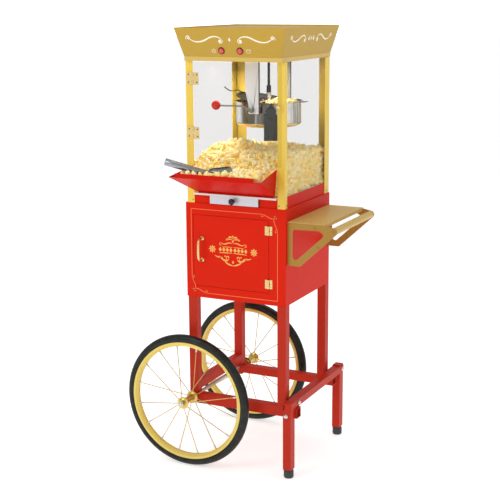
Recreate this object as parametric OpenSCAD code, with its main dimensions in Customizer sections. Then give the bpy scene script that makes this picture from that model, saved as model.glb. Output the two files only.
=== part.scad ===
// Popcorn cart: a stand on two spoked wheels and two feet, a storage cabinet with a side shelf
// and push handle, and a glazed popper with a tilting kettle under a flared top.
// Cart axes: x runs from the cabinet's left side towards the push handle, y from its front face
// to the back and z up from the floor. cart() moves them to the middle of the whole cart.

/* [Cabinet] */
// Width of the cabinet
cab_w = 330; // [320:1:340]
// Depth of the cabinet
cab_d = 340; // [334:1:346]
// Height of the cabinet's underside above the floor
cab_z = 532; // [520:1:545]
// Height of the cabinet
cab_h = 295; // [290:1:300]
// How far the cabinet's left side stands out past the popper's
cab_out = 4; // [2:0.5:6]
// Thickness of the painted sheet
sheet = 2; // [1.5:0.5:2]

/* [Stand] */
// Side of the square leg tubes
leg_s = 28; // [26:1:30]
// Wall of the leg and rail tubes
tube_wall = 2; // [1.5:0.5:3]
// Underside of the front and rear rails
rail_z = 186; // [180:1:190]
// Height of the front and rear rails
rail_h = 32; // [28:1:34]
// Front end of the side rail, measured from the cabinet's front
side_front = -30; // [-34:1:-28]
// Back end of the side rail, measured from the cabinet's front
side_back = 400; // [394:1:404]
// Top of the side rail above the floor
side_top = 241; // [238:1:246]
// Height of the rubber feet
foot_h = 31; // [26:1:34]

/* [Wheels] */
// Outer radius of the tyres
wheel_r = 211; // [206:1:220]
// Distance of the axle from the cabinet's left side
axle_x = 19; // [18:0.5:19.5]
// Radius of the axle
axle_r = 6; // [5:0.5:7]
// Distance of each wheel's middle from the cabinet's middle
half_track = 222; // [218:1:230]
// Number of spokes in each wheel
spoke_count = 16; // [12:2:20]
// Distance between the hub flanges
flange_gap = 60; // [50:1:64]

/* [Popper] */
// Height of the red base under the glass
base_h = 30; // [28:1:34]
// Underside of the flared top above the floor
top_z = 1253; // [1245:1:1260]
// Height of the whole cart
total_h = 1350; // [1345:1:1355]
// Width of the front posts
post_w = 24; // [20:1:26]
// Width of the back posts
back_post_w = 35; // [30:1:38]
// Thickness of the glass
glass_t = 3; // [2.5:0.5:4]

/* [Chute] */
// How far the serving chute reaches in front of the cabinet
chute_out = 138; // [120:1:145]
// Height of the chute's mouth corners above the floor
chute_lip_z = 924; // [915:1:930]

/* [Kettle] */
// Radius of the kettle pot
pot_r = 100; // [90:1:102]
// Height of the kettle pot
pot_h = 74; // [66:1:78]
// Height of the kettle's tilt axis above the floor
tilt_z = 1107; // [1104:1:1112]

/* [Shelf] */
// How far the shelf reaches out from the cabinet
shelf_out = 119; // [110:1:122]
// Height of the shelf's surface above the floor
shelf_z = 789; // [780:1:795]
// Distance of the push handle's axis from the cabinet
bar_out = 144; // [140:1:150]
// Radius of the push handle
bar_r = 11; // [9:0.5:12]

/* [Hidden] */
$fn = 48;

red = "#c8241c";
gold = "#c9a23c";
yellow = "#e8c94a";
brass = "#caa650";
steel = "#b9bcc0";
rubber = "#1d1f22";

mid_x = cab_w / 2;
mid_y = cab_d / 2;
cab_top = cab_z + cab_h;
hub_end = half_track + 44;
frame_x = (cab_w + bar_out + 12 + axle_x - wheel_r) / 2;
frame_y = (mid_y + hub_end + 4 - 145) / 2;

// Stand
leg_in = 0;
leg_far_x = cab_w - leg_in - leg_s;
leg_far_y = cab_d - leg_in - leg_s;
rail_top = rail_z + rail_h;
left_rail_z = 228;
side_x = cab_w + 4;
side_h = side_top - rail_top;
lower_leg_w = 26;
lower_leg_d = 30;

// Cabinet door and its hinges
door_x0 = 21;
door_x1 = 274;
door_z0 = cab_z + 37;
door_z1 = cab_top - 37;
door_depth = 14;
door_gap = 0.8;
door_axis = [door_x1 + 0.6, -3.2];
door_hinge_z = [door_z0 + 14, door_z1 - 44];
pin_r = 1.2;
knuckle_r = 3;
door_hinge_h = 27;
glass_hinge_h = 36;

// Popper
base_z = cab_top;
deck_z = base_z + base_h;
side_lip = 5;
post_x0 = 3;
post_x1 = cab_w - 3;
drawer_x0 = 81;
drawer_x1 = 242;
glass_axis = [post_x0 + post_w + 2, -4.6];
glass_hinge_z = [1022, 1183];
pane_x0 = glass_axis[0] + 3.6;
pane_x1 = post_x1 - 9;
pane_z0 = 951;
pane_z1 = top_z - 4;
pane_y = -5.4;

// Flared top
trim_h = 13;
low_in = 6;
low_out = 12;
high_out_x = 15;
high_out_y = 37;
flare_z = top_z + trim_h;
flare_tilt = atan((high_out_y - low_out) / (total_h - flare_z));
button_z = 1284;
button_x = [133, 193];
button_r = 7.5;
neck_r = button_r + 1.3;

// Kettle
pot_x = 190;
pot_y = 185;
pot_z = 1126 - pot_h;
rim_z = pot_z + pot_h;
trunnion_r = 5;
hanger_off = 115;
hanger_t = 2;
lid_hinge = [pot_x - 11.2, rim_z + 3.4];
lid_open = 12;
stir_r = 4;
coupling_z = 1148;

// Shelf and push handle
bracket_off = 156;
bracket_t = 3;
bar_z = shelf_z - 20;
bar_x = cab_w + bar_out;

// Scoop
scoop_at = [118, -80, 938.5];
scoop_turn = 29;
scoop_r = 31;
scoop_len = 84;
blade_rise = 5;
handle_rise = 17;

// Clearances
run_fit = 0.05;
eps = 0.01;

function arc(cx, cy, r, a0, a1, n = 10) =
    [for (i = [0 : n]) let (a = a0 + (a1 - a0) * i / n) [cx + r * cos(a), cy + r * sin(a)]];
function lerp(a, b, t) = a + (b - a) * t;
// Outline of radius r round the corner centres p, which run anticlockwise
function heading(a, b) = atan2(b[1] - a[1], b[0] - a[0]) - 90;
function rounded(p, r, n = 6) = [for (i = [0 : len(p) - 1])
    let (k = len(p), before = heading(p[(i + k - 1) % k], p[i]), after = heading(p[i], p[(i + 1) % k]),
        turn = after < before ? after + 360 : after)
    each arc(p[i][0], p[i][1], r, before, turn, n)];

module cart() { translate([-frame_x, -frame_y, 0]) children(); }
module box(lo, hi) { translate(lo) cube(hi - lo); }
module rod_y(x, y0, y1, z, r) { translate([x, y0, z]) rotate([-90, 0, 0]) cylinder(r = r, h = y1 - y0); }
module rod_x(x0, x1, y, z, r) { translate([x0, y, z]) rotate([0, 90, 0]) cylinder(r = r, h = x1 - x0); }
// Block whose lower and upper rectangles differ
module flare(lo_x, lo_y, hi_x, hi_y, z0, z1) {
    polyhedron([[lo_x[0], lo_y[0], z0], [lo_x[1], lo_y[0], z0], [lo_x[1], lo_y[1], z0],
        [lo_x[0], lo_y[1], z0], [hi_x[0], hi_y[0], z1], [hi_x[1], hi_y[0], z1],
        [hi_x[1], hi_y[1], z1], [hi_x[0], hi_y[1], z1]],
        [[0, 1, 2, 3], [7, 6, 5, 4], [0, 4, 5, 1], [1, 5, 6, 2], [2, 6, 7, 3], [3, 7, 4, 0]]);
}

// ---- Stand ----
module tube(lo, hi, dir) {
    over = [for (i = [0 : 2]) i == dir ? 1 : -tube_wall];
    difference() {
        box(lo, hi);
        box(lo - over, hi + over);
    }
}
module leg(x, y, z0, bored = false) {
    color(red) cart() difference() {
        tube([x, y, z0], [x + leg_s, y + leg_s, cab_z], 2);
        if (bored) rod_y(axle_x, y - 1, y + leg_s + 1, wheel_r, axle_r + run_fit);
    }
}
module leg_front_left() { leg(leg_in, leg_in, rail_z, true); }
module leg_back_left() { leg(leg_in, leg_far_y, rail_z, true); }
module leg_front_right() { leg(leg_far_x, leg_in, rail_top); }
module leg_back_right() { leg(leg_far_x, leg_far_y, rail_top); }
module front_rail() {
    color(red) cart()
        tube([leg_in + leg_s, leg_in, rail_z], [side_x + 34, leg_in + leg_s, rail_top], 0);
}
module rear_rail() {
    color(red) cart()
        tube([leg_in + leg_s, leg_far_y, rail_top - 26], [side_x + 25, cab_d - leg_in, rail_top], 0);
}
module left_rail() {
    color(red) cart()
        tube([leg_in, leg_in + leg_s, left_rail_z], [leg_in + leg_s, leg_far_y, left_rail_z + leg_s], 1);
}
// Angle whose top flange lies on the lower front leg and whose side flange covers both legs
module side_rail() {
    outer = side_x + lower_leg_w;
    color(red) cart() union() {
        box([side_x, side_front, side_top - sheet], [outer + sheet, side_back - lower_leg_d, side_top]);
        box([outer, side_front, side_top - side_h], [outer + sheet, side_back, side_top]);
        box([side_x, side_front + lower_leg_d + 1, side_top - side_h], [side_x + sheet,
            side_back - lower_leg_d - 1, side_top - sheet]);
    }
}
module lower_leg(y, top) {
    tube([side_x, y, foot_h - 4], [side_x + lower_leg_w, y + lower_leg_d, top], 2);
    box([side_x, y, top - 3], [side_x + lower_leg_w, y + lower_leg_d, top]);
}
module lower_leg_front() {
    color(red) cart() difference() {
        lower_leg(side_front, side_top - sheet);
        box([side_x + 1, side_front - 1, side_top - side_h], [side_x + 5, side_front + 3, side_top - 4]);
    }
}
module lower_leg_back() { color(red) cart() lower_leg(side_back - lower_leg_d, side_top + 4); }
module feet() {
    color(rubber) cart() for (y = [side_front, side_back - lower_leg_d])
        translate([side_x + lower_leg_w / 2, y + lower_leg_d / 2, 0]) {
            cylinder(r1 = 13, r2 = 15.5, h = 4);
            translate([0, 0, 4]) cylinder(r = 15.5, h = foot_h - 13);
            translate([0, 0, foot_h - 9]) cylinder(r1 = 15.5, r2 = 12.9, h = 5);
            translate([-10.8, -12.8, foot_h - 4]) cube([21.6, 25.6, 12]);
        }
}
module bolt(r) {
    cylinder(r = r, h = 2);
    translate([0, 0, 2]) cylinder(r1 = r, r2 = r * 0.55, h = r * 0.5);
}
module frame_bolts() {
    outer = side_x + lower_leg_w + sheet;
    rail_mid = side_top - side_h / 2;
    color(steel) cart() {
        for (y = [26, side_back - lower_leg_d / 2])
            translate([outer, y, rail_mid]) rotate([0, 90, 0]) bolt(7);
        translate([side_x + 10, side_front, rail_top - 18]) rotate([90, 0, 0]) bolt(7);
        translate([leg_in, leg_in + leg_s / 2, left_rail_z + 12]) rotate([0, -90, 0]) bolt(7);
        for (s = [-1, 1]) translate([axle_x, mid_y + s * (hub_end - 5), wheel_r]) rotate([-90 * s, 0, 0]) {
            cylinder(r = 9.5, h = 5.5, $fn = 6);
            translate([0, 0, 5.5]) cylinder(r1 = 7, r2 = 3.5, h = 3.5);
        }
    }
}

// ---- Axle and wheels ----
module axle() {
    color(steel) cart() rod_y(axle_x, mid_y - hub_end + 5, mid_y + hub_end - 5, wheel_r, axle_r);
}
module at_wheel(side) {
    translate([axle_x, mid_y + side * half_track, wheel_r]) rotate([-90, 0, 0]) children();
}
module tyre(side) {
    color(rubber) cart() at_wheel(side) rotate_extrude($fn = 96)
        translate([wheel_r - 13.5, 0]) circle(r = 13.5);
}
module rim(side) {
    seat = wheel_r - 27.2;
    color(gold) cart() at_wheel(side) rotate_extrude($fn = 96)
        polygon([[seat - 9, -6], [seat - 9, 6], [seat - 3, 12.5], [seat + 4.5, 12.5], [seat + 4.5, 10.3],
            [seat, 10.3], [seat, -10.3], [seat + 4.5, -10.3], [seat + 4.5, -12.5], [seat - 3, -12.5]]);
}
module spokes(side) {
    inner = 19.25;
    outer = wheel_r - 36.45;
    rise = flange_gap / 2;
    run = outer - inner;
    color(gold) cart() at_wheel(side) for (i = [0 : spoke_count - 1])
        rotate([0, 0, (i + 0.5) * 360 / spoke_count]) translate([inner, 0, (i % 2 == 0 ? 1 : -1) * rise])
            rotate([0, 90 + (i % 2 == 0 ? 1 : -1) * atan(rise / run), 0])
                cylinder(r = 1.2, h = norm([rise, run]), $fn = 16);
}
module hub(side) {
    color(gold) cart() at_wheel(side) rotate_extrude()
        polygon([[axle_r + run_fit, -38], [12, -38], [12, -34], [15, -flange_gap / 2 - 2],
            [19, -flange_gap / 2 - 1.5], [19, -flange_gap / 2 + 1.5], [12, -flange_gap / 2 + 5],
            [10.5, 0], [12, flange_gap / 2 - 5], [19, flange_gap / 2 - 1.5], [19, flange_gap / 2 + 1.5],
            [15, flange_gap / 2 + 2], [12, 34], [12, 38], [axle_r + run_fit, 38]]);
}
module tyre_front() { tyre(-1); }
module tyre_back() { tyre(1); }
module rim_front() { rim(-1); }
module rim_back() { rim(1); }
module spokes_front() { spokes(-1); }
module spokes_back() { spokes(1); }
module hub_front() { hub(-1); }
module hub_back() { hub(1); }

// ---- Cabinet ----
module cabinet_shell() {
    color(red) cart() difference() {
        box([-cab_out, 0, cab_z], [cab_w, cab_d, cab_top]);
        box([sheet - cab_out, sheet, cab_z + sheet], [cab_w - sheet, cab_d - sheet, cab_top - sheet]);
        box([door_x0 - door_gap, -1, door_z0 - door_gap],
            [door_x1 + door_gap, sheet + 1, door_z1 + door_gap]);
    }
}
module cabinet_door() {
    color(red) cart() difference() {
        box([door_x0, 0, door_z0], [door_x1, door_depth, door_z1]);
        box([door_x0 + 1.5, 1.5, door_z0 + 1.5], [door_x1 - 1.5, door_depth + 1, door_z1 - 1.5]);
    }
}
module cabinet_handle() {
    ends = [651, 718];
    x = 50;
    out = -24;
    color(brass) cart() {
        translate([x, out, ends[0]]) cylinder(r = 4, h = ends[1] - ends[0]);
        for (z = ends) {
            translate([x, out, z]) sphere(r = 4);
            rod_y(x, out, 0, z, 4);
            rod_y(x, -2.5, 0, z, 7);
        }
    }
}
// Three knuckles of a hinge on axis [x, y]; the middle one belongs to the moving leaf
module knuckle(axis, z, h, part) {
    third = h / 3;
    lift = part == 1 ? 0.3 : 0;
    translate([axis[0], axis[1], z + part * third + lift])
        cylinder(r = knuckle_r, h = third - 2 * lift, $fn = 32);
}
// Fixed half of a hinge: its leaf lies between the heights lo_y and hi_y in y
module fixed_leaf(axis, z, h, dir, reach, lo_y, hi_y) {
    third = h / 3;
    for (part = [0, 2]) {
        knuckle(axis, z, h, part);
        box([min(axis[0], axis[0] + dir * 5), lo_y, z + part * third],
            [max(axis[0], axis[0] + dir * 5), hi_y, z + (part + 1) * third]);
    }
    box([min(axis[0] + dir * 4, axis[0] + dir * reach), lo_y, z],
        [max(axis[0] + dir * 4, axis[0] + dir * reach), hi_y, z + h]);
    translate([axis[0], axis[1], z]) cylinder(r = pin_r, h = h, $fn = 24);
}
module moving_leaf(axis, z, h, dir, reach, lo_y, hi_y) {
    third = h / 3;
    difference() {
        union() {
            knuckle(axis, z, h, 1);
            box([min(axis[0], axis[0] + dir * 5), lo_y, z + third + 0.3],
                [max(axis[0], axis[0] + dir * 5), hi_y, z + 2 * third - 0.3]);
            box([min(axis[0] + dir * 4, axis[0] + dir * reach), lo_y, z],
                [max(axis[0] + dir * 4, axis[0] + dir * reach), hi_y, z + h]);
        }
        translate([axis[0], axis[1], z - 1]) cylinder(r = pin_r + run_fit, h = h + 2, $fn = 24);
    }
}
module hinge_plates() {
    color(brass) cart() {
        for (z = door_hinge_z) fixed_leaf(door_axis, z, door_hinge_h, 1, 12, -1.5, 0);
        for (z = glass_hinge_z) fixed_leaf(glass_axis, z, glass_hinge_h, -1, 20, -2, 0);
    }
}
module cabinet_door_leaves() {
    color(brass) cart() for (z = door_hinge_z) moving_leaf(door_axis, z, door_hinge_h, -1, 12, -1.5, 0);
}

// ---- Shelf and push handle ----
// Side plate of the shelf; its screw heads are on the side facing dir
module bracket(y, dir) {
    low = cab_z + 125;
    top = shelf_z - sheet;
    outline = concat([[cab_w, low]], arc(cab_w + 38, low + 5, 5, -90, -42, 4),
        arc(bar_x, bar_z, 12, -42, 62, 10), arc(cab_w + 114, top - 5, 5, 66, 90, 3), [[cab_w, top]]);
    cut_r = 9;
    cutout = rounded([[cab_w + 24, low + 31], [cab_w + 26, low + 28], [cab_w + 104, top - 31],
        [cab_w + 98, top - 27], [cab_w + 24, top - 29]], cut_r);
    color(brass) cart() {
        translate([0, y + bracket_t / 2, 0]) rotate([90, 0, 0]) linear_extrude(bracket_t) difference() {
            polygon(outline);
            polygon(cutout);
        }
        for (p = [[416, 774], [428, 718], [bar_x, bar_z]])
            translate([p[0], y + dir * bracket_t / 2, p[1]]) rotate([-90 * dir, 0, 0]) bolt(3);
    }
}
module bracket_front() { bracket(mid_y - bracket_off, -1); }
module bracket_back() { bracket(mid_y + bracket_off, 1); }
module shelf() {
    reach = cab_w + shelf_out;
    y0 = mid_y - bracket_off - bracket_t / 2;
    y1 = mid_y + bracket_off + bracket_t / 2;
    color(brass) cart() {
        box([cab_w + 0.5, y0, shelf_z - sheet], [reach, y1, shelf_z]);
        box([reach - sheet, y0 + bracket_t, shelf_z - 10], [reach, y1 - bracket_t, shelf_z - sheet]);
        box([cab_w + 0.5, y0 + bracket_t, shelf_z - 14],
            [cab_w + 0.5 + sheet, y1 - bracket_t, shelf_z - sheet]);
    }
}
module push_handle() {
    y0 = mid_y - bracket_off + bracket_t / 2;
    y1 = mid_y + bracket_off - bracket_t / 2;
    color(brass) cart() difference() {
        rod_y(bar_x, y0, y1, bar_z, bar_r);
        rod_y(bar_x, y0 + 2, y1 - 2, bar_z, bar_r - tube_wall);
    }
}

// ---- Popper base, drawer, posts and glass ----
module popper_base() {
    x0 = post_x0 + 2;
    x1 = post_x1 - 2;
    color(red) cart() difference() {
        box([x0, 2.5, base_z], [x1, cab_d - 2.5, deck_z + side_lip]);
        box([x0 + sheet, 2.5 + sheet, base_z - 1], [x1 - sheet, cab_d - 2.5 - sheet, deck_z + side_lip + 1]);
        box([x0 + sheet, 0, deck_z], [x1 - sheet, cab_d, deck_z + side_lip + 1]);
        box([drawer_x0 - 0.6, -1, base_z - 1], [drawer_x1 + 0.6, 3.5 + sheet, deck_z + 1]);
        rod_y(60, cab_d - 8, cab_d + 2, base_z + 16, 7.1);
    }
}
module deck_plate() {
    color(steel) cart() union() {
        box([post_x0 + 4, 2.5, deck_z], [post_x1 - 4, cab_d - 2.5, deck_z + 2]);
        box([post_x0 + post_w + 1, -7, deck_z], [post_x1 - post_w - 1, 3, deck_z + 2]);
        box([post_x0 + post_w + 1, -7, deck_z - 4], [post_x1 - post_w - 1, -5.5, deck_z]);
    }
}
module crumb_drawer() {
    z0 = base_z + 1.5;
    z1 = deck_z - 5;
    color(steel) cart() {
        box([drawer_x0, -4, z0], [drawer_x1, -2, z1 + 0.5]);
        difference() {
            box([drawer_x0 + 3, -2.5, z0], [drawer_x1 - 3, 270, z1]);
            box([drawer_x0 + 4.2, -1.2, z0 + 1.2], [drawer_x1 - 4.2, 268.8, z1 + 1]);
        }
    }
}
module drawer_knob() {
    color("#202020") cart() translate([161, -4, base_z + 14]) rotate([90, 0, 0]) rotate_extrude()
        polygon([[0, 0], [5, 0], [5, 4], [4, 8], [7, 10], [9.5, 13], [9.5, 16], [7.5, 19], [4, 20], [0, 20]]);
}
// Corner angles; the front pair is narrower than the back pair
module corner_posts() {
    z1 = top_z;
    color(yellow) cart() for (x = [0, 1]) translate([x * cab_w, 0, 0]) mirror([x, 0, 0]) {
        box([post_x0, 0, base_z], [post_x0 + post_w, 2, z1]);
        box([post_x0, 0, base_z], [post_x0 + 2, 17, z1]);
        box([post_x0, cab_d - 2, base_z], [post_x0 + back_post_w, cab_d, z1]);
        box([post_x0, cab_d - back_post_w, base_z], [post_x0 + 2, cab_d, z1]);
    }
}
module side_glass(x) {
    color("#dfe8ea", 0.3) cart() box([x, 3, deck_z + side_lip], [x + glass_t, cab_d - 3 - glass_t, top_z]);
}
module left_glass() { side_glass(post_x0 + 2.2); }
module right_glass() { side_glass(post_x1 - 2.2 - glass_t); }
module back_glass() {
    color("#dfe8ea", 0.3) cart()
        box([post_x0 + 2.2, cab_d - 2.2 - glass_t, deck_z + side_lip], [post_x1 - 2.2, cab_d - 2.2, top_z]);
}
module glass_door() {
    color("#dfe8ea", 0.3) cart() box([pane_x0, pane_y, pane_z0], [pane_x1, pane_y + glass_t, pane_z1]);
}
module glass_door_leaves() {
    color(brass) cart() for (z = glass_hinge_z)
        moving_leaf(glass_axis, z, glass_hinge_h, 1, 20, pane_y - 1.8, pane_y);
}
module glass_door_knob() {
    color(brass) cart() translate([312, pane_y, 1126]) rotate([90, 0, 0]) rotate_extrude()
        polygon([[0, 0], [3, 0], [3, 4], [6.5, 7], [6.5, 10], [5, 12], [0, 12]]);
}

// ---- Serving chute ----
// Wedge that fills the tray, drawn in by t all round, up to the height top
module chute_block(t, front, back, top) {
    low = deck_z + 5;
    slope = (chute_lip_z - low) / (chute_out + 1);
    function floor_z(y) = low + (1 - y) * slope + t * 1.1;
    function side_x(y, z) = 35 + t + 0.104 * (y - 1) - 0.0732 * (z - low);
    corners = [for (y = [front, back], z = [floor_z(y), top]) [side_x(y, z), y, z]];
    far = [for (c = corners) [cab_w - c[0], c[1], c[2]]];
    polyhedron(concat(corners, far), [[0, 2, 3, 1], [4, 5, 7, 6], [0, 1, 5, 4], [2, 6, 7, 3],
        [1, 3, 7, 5], [0, 4, 6, 2]]);
}
module chute() {
    low = deck_z + 5;
    lip = 12;
    rise = 20 / (chute_out + 1);
    color(red) cart() {
        difference() {
            chute_block(0, -chute_out, 1, chute_lip_z + 20);
            chute_block(1.6, -chute_out - 1, 2, chute_lip_z + 30);
            translate([0, -chute_out, chute_lip_z]) rotate([atan(rise), 0, 0])
                box([-50, -5, 0], [cab_w + 50, chute_out + 6, 60]);
        }
        box([38, -chute_out - 1.2, chute_lip_z - 1], [cab_w - 38, -chute_out + 0.4, chute_lip_z + lip]);
        box([40, -0.6, deck_z + 2], [cab_w - 40, 1, low + 1]);
    }
}

// ---- Flared top ----
module marquee_base() {
    color(yellow) cart() difference() {
        box([low_in, -low_out, top_z], [cab_w - low_in, cab_d + low_out, flare_z]);
        box([low_in + 2, 2 - low_out, top_z + 2], [cab_w - low_in - 2, cab_d + low_out - 2, flare_z + 1]);
        translate([pot_x, pot_y, top_z - 1]) cylinder(r = 7, h = 4);
    }
}
module at_button(x) {
    y = -low_out - (button_z - flare_z) * tan(flare_tilt);
    translate([x, y, button_z]) rotate([90 + flare_tilt, 0, 0]) children();
}
module marquee() {
    t = 2;
    slope_x = (low_in + high_out_x) / (total_h - flare_z);
    slope_y = (high_out_y - low_out) / (total_h - flare_z);
    lift = 4;
    color(gold) cart() difference() {
        flare([low_in, cab_w - low_in], [-low_out, cab_d + low_out], [-high_out_x, cab_w + high_out_x],
            [-high_out_y, cab_d + high_out_y], flare_z, total_h);
        flare([low_in + t, cab_w - low_in - t], [t - low_out, cab_d + low_out - t],
            [t - high_out_x + lift * slope_x, cab_w + high_out_x - t - lift * slope_x],
            [t - high_out_y + lift * slope_y, cab_d + high_out_y - t - lift * slope_y],
            flare_z - eps, total_h - lift - t);
        flare([t - high_out_x + lift * slope_x, cab_w + high_out_x - t - lift * slope_x],
            [t - high_out_y + lift * slope_y, cab_d + high_out_y - t - lift * slope_y],
            [t - high_out_x, cab_w + high_out_x - t], [t - high_out_y, cab_d + high_out_y - t],
            total_h - lift, total_h + eps);
        for (x = button_x) at_button(x) translate([0, 0, -6]) cylinder(r = neck_r + 0.1, h = 12);
    }
}
module button(x) {
    color("#d83228") cart() at_button(x) {
        translate([0, 0, -8]) cylinder(r = button_r, h = 11);
        translate([0, 0, 3]) cylinder(r1 = button_r, r2 = button_r - 2, h = 1.5);
    }
}
module light_button() { button(button_x[0]); }
module kettle_button() { button(button_x[1]); }
module button_bezels() {
    color("#7c1712") cart() for (x = button_x) at_button(x) translate([0, 0, -9]) rotate_extrude()
        polygon([[button_r + 0.08, 0], [neck_r, 0], [neck_r, 9], [neck_r + 1.8, 9], [neck_r + 1.8, 10.5],
            [neck_r + 0.8, 11.8], [button_r + 0.08, 11.8]]);
}
module stir_motor() {
    color(steel) cart() translate([pot_x, pot_y, top_z + 2]) difference() {
        union() {
            translate([-32, -26, 0]) cube([64, 52, 26]);
            translate([0, 0, 26]) cylinder(r = 24, h = 34);
            translate([-14, -28, 26]) cube([28, 6, 22]);
        }
        translate([0, 0, -1]) cylinder(r = stir_r + run_fit, h = 20);
    }
}
module lamp() {
    color("#f4ead0") cart() translate([90, 292, top_z]) rotate([180, 0, 0]) {
        cylinder(r = 19, h = 4);
        translate([0, 0, 4]) cylinder(r1 = 16, r2 = 9, h = 9);
    }
}

// ---- Kettle ----
module kettle_hangers() {
    color(steel) cart() for (s = [-1, 1])
        translate([pot_x, pot_y + s * hanger_off + hanger_t / 2, 0]) rotate([90, 0, 0])
            linear_extrude(hanger_t) difference() {
                polygon([[-24, top_z], [-24, tilt_z + 56], [-13, tilt_z + 14], [-13, tilt_z - 12],
                    [24, tilt_z - 12], [24, top_z]]);
                translate([0, tilt_z]) circle(r = trunnion_r + run_fit);
            }
}
module kettle_pot() {
    wall = 1.5;
    r = pot_r;
    color(steel) cart() translate([pot_x, pot_y, 0]) {
        translate([0, 0, pot_z]) rotate_extrude($fn = 72)
            polygon(concat([[0, 0]], arc(r - 12, 12, 12, -90, 0, 5), [[r, pot_h - 3], [r + 5, pot_h - 1],
                [r + 5, pot_h], [r - wall, pot_h]], arc(r - 12, 12, 12 - wall, 0, -90, 5), [[0, wall]]));
        difference() {
            box([-8, 1.5 - r, rim_z], [8, r - 1.5, rim_z + 3]);
            translate([0, 0, rim_z - 1]) cylinder(r = stir_r + run_fit, h = 6);
        }
        for (s = [-1, 1]) {
            rod_y(0, s > 0 ? r - 1 : -hanger_off - 12, s > 0 ? hanger_off + 12 : 1 - r, tilt_z, trunnion_r);
            rod_y(0, s > 0 ? r - 1 : 3 - hanger_off, s > 0 ? hanger_off - 3 : 1 - r, tilt_z, 9);
            box([-8, s > 0 ? r - 1.5 : -r - 3, tilt_z - 6], [8, s > 0 ? r + 3 : 1.5 - r, rim_z + 3]);
        }
        translate([0, 0, rim_z - 1]) linear_extrude(1) polygon([[r, -26], [r + 25, -18], [r + 25, 18], [r, 26]]);
        rod_y(lid_hinge[0] - pot_x, -22, 22, lid_hinge[1], 1.5);
        for (y = [-24, 20])
            box([lid_hinge[0] - pot_x - 2.5, y, rim_z + 0.2], [lid_hinge[0] - pot_x + 4, y + 4, rim_z + 6]);
    }
}
// Half-round lid over the side away from the spout, slotted where it swings past the shaft
module kettle_lid() {
    under = -2.9;
    thick = 1.6;
    centre = pot_x - lid_hinge[0];
    color(steel) cart() translate([lid_hinge[0], pot_y, lid_hinge[1]]) rotate([0, lid_open, 0]) difference() {
        union() {
            intersection() {
                translate([centre, 0, under]) cylinder(r = pot_r + 1, h = thick, $fn = 72);
                box([-pot_r, -pot_r - 2, under - 1], [-3.5, pot_r + 2, 3]);
            }
            rod_y(0, -19, 19, 0, 2.8);
            for (s = [-1, 1]) box([-5, s * 14.5 - 4.5, under], [0, s * 14.5 + 4.5, under + thick]);
            rod_x(-145, -pot_r + 30, 0, -0.4, 1.6);
        }
        rod_y(0, -30, 30, 0, 1.5 + run_fit);
        box([-32, -9.5, -5], [-3.4, 9.5, 3]);
    }
}
module kettle_plug() {
    turn = 28;
    color("#26282b") cart() translate([pot_x, pot_y, 0]) rotate([0, 0, turn]) {
        rod_y(0, -pot_r - 22, -pot_r - 0.05, tilt_z - 4, 15);
        rod_y(0, -pot_r - 30, -pot_r - 22, tilt_z - 4, 10);
        box([-21, -pot_r - 12, tilt_z - 92], [21, -pot_r - 10, tilt_z - 14]);
    }
}
module tilt_handle() {
    y = pot_y - hanger_off - 9;
    ball_x = pot_x - 118;
    color(steel) cart() {
        difference() {
            rod_y(pot_x, y - 4, y + 5, tilt_z, 8);
            rod_y(pot_x, y - 5, y + 6, tilt_z, trunnion_r + 0.02);
        }
        translate([pot_x - 6, y, tilt_z + 4]) rotate([0, -62, 0]) cylinder(r = 2.6, h = 14);
        rod_x(ball_x + 12, pot_x - 17, y, tilt_z + 10.5, 2.6);
    }
}
module tilt_ball() {
    color(red) cart() translate([pot_x - 118, pot_y - hanger_off - 9, tilt_z + 10.5]) difference() {
        sphere(r = 14);
        rotate([0, 90, 0]) translate([0, 0, 12]) cylinder(r = 2.6, h = 4);
    }
}
module drive_shaft() {
    color(steel) cart() translate([pot_x, pot_y, 0]) {
        translate([0, 0, coupling_z + 12]) cylinder(r = stir_r, h = top_z + 10 - coupling_z - 12);
        translate([0, 0, coupling_z + 2]) cylinder(r = 7, h = 22);
        translate([0, 0, top_z - 7]) cylinder(r = 13, h = 6);
    }
}
module stirrer() {
    color(steel) cart() translate([pot_x, pot_y, 0]) {
        translate([0, 0, pot_z + 4]) cylinder(r = stir_r, h = coupling_z - pot_z - 4);
        translate([0, 0, coupling_z - 12]) cylinder(r = 8, h = 12);
        rod_x(-pot_r + 22, pot_r - 22, 0, pot_z + 7, 2.5);
        for (s = [-1, 1]) translate([s * (pot_r - 26), 0, pot_z + 7]) cylinder(r = 2.5, h = 16);
    }
}

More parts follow.
